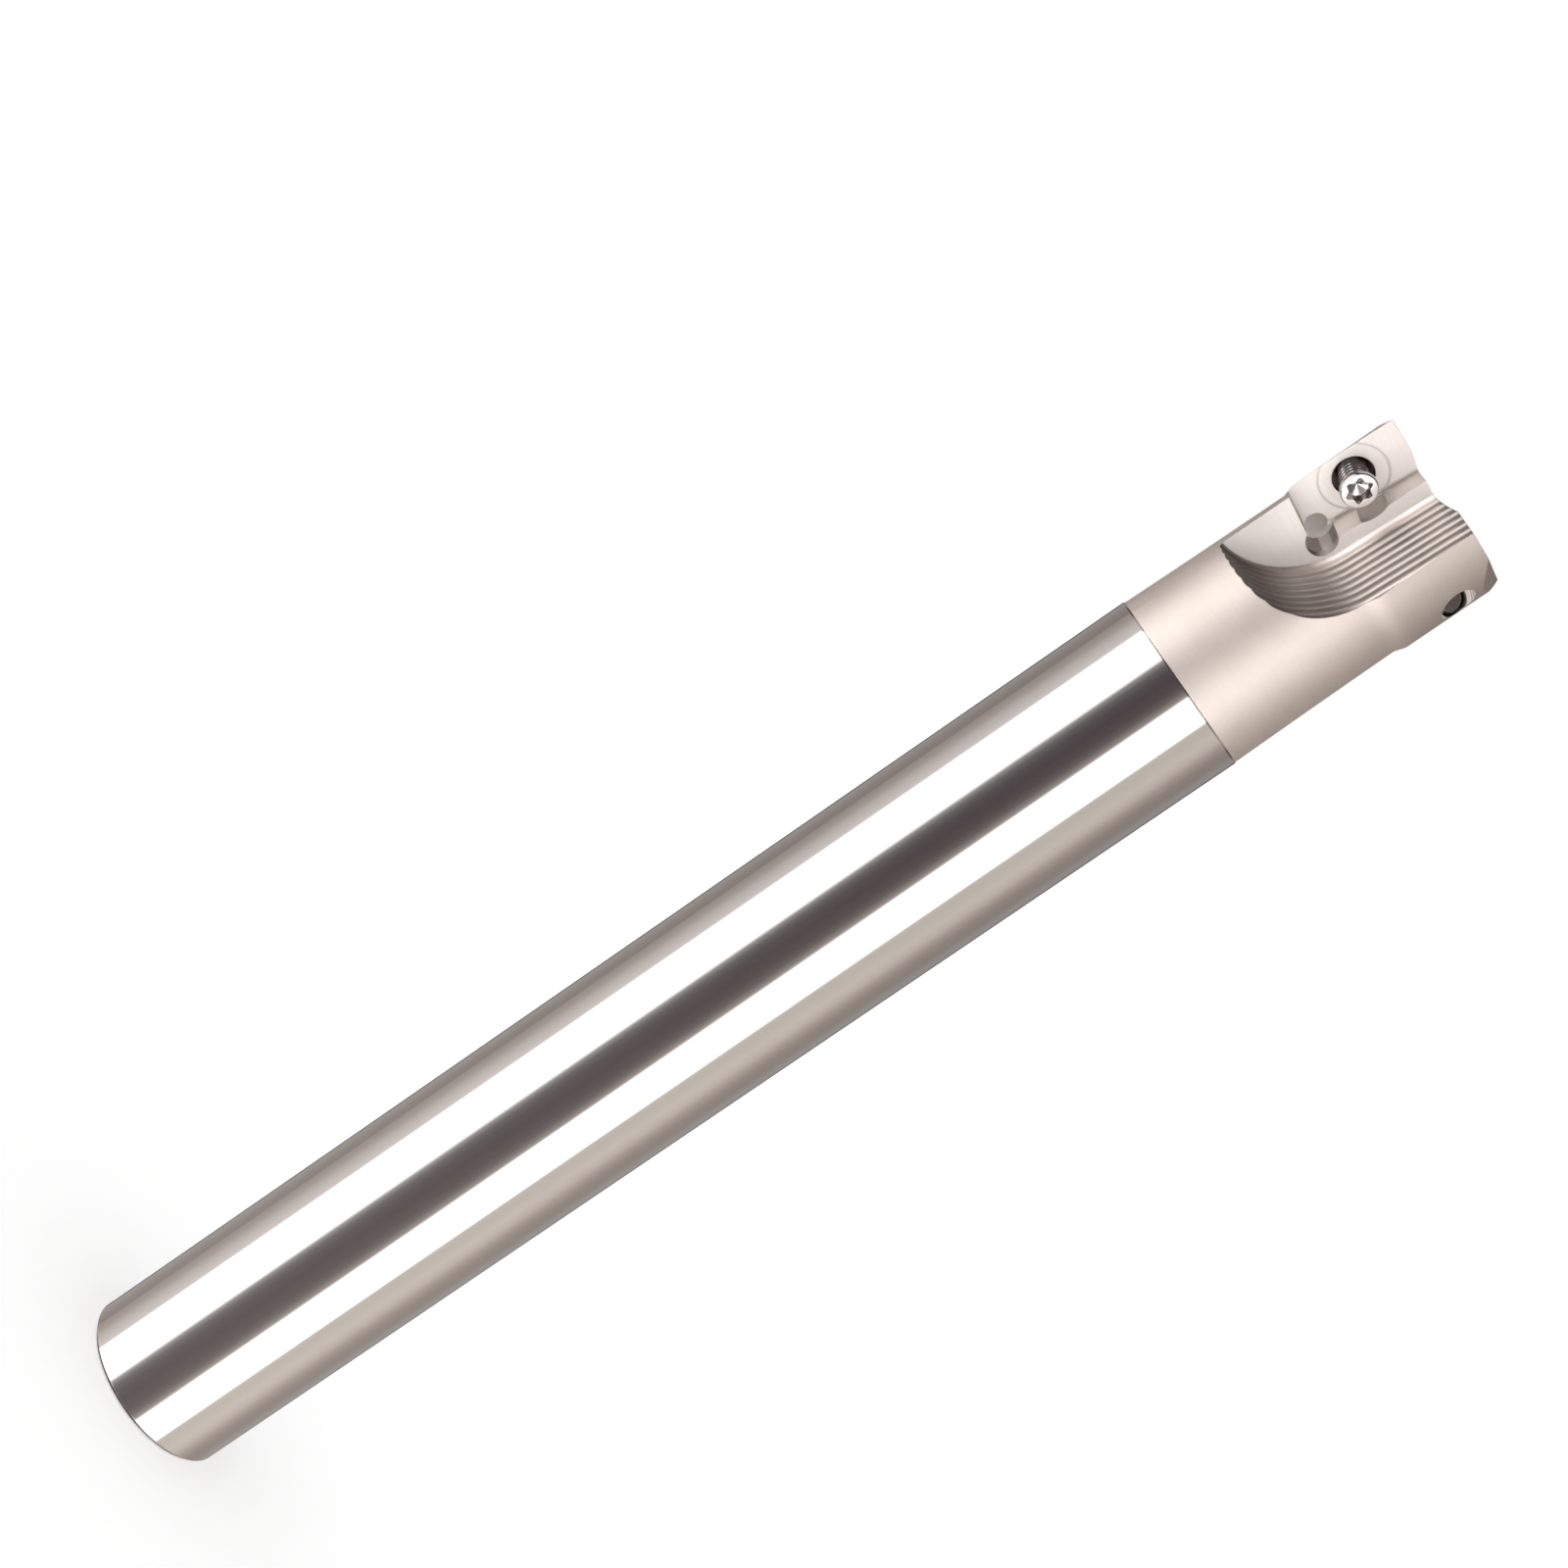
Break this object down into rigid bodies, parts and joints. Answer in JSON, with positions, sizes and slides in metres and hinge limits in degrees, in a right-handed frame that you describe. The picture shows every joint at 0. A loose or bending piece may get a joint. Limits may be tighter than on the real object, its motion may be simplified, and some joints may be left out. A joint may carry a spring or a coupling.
{
  "type": "indexable end mill",
  "caption": "Long-shank indexable end mill, without inserts: ground steel shank, head with chip gullets and insert pockets, and a lobed clamp screw in each pocket.",
  "frame": {"origin": "centre of the shank's flat end face, on the tool's axis", "axes": "+Z along the axis to the cutting end, +X to the outer edge of the first insert pocket, so that its floor faces +Y"},
  "size_m": [0.016, 0.016, 0.133],
  "materials": {
    "holder_steel": "ground bright shank, satin nickel head",
    "screw_steel": "bright screw steel"
  },
  "bodies": {
    "root": {"holder_body": "holder_steel", "clamp_screw_1": "screw_steel", "clamp_screw_2": "screw_steel"}
  },
  "joints": []
}
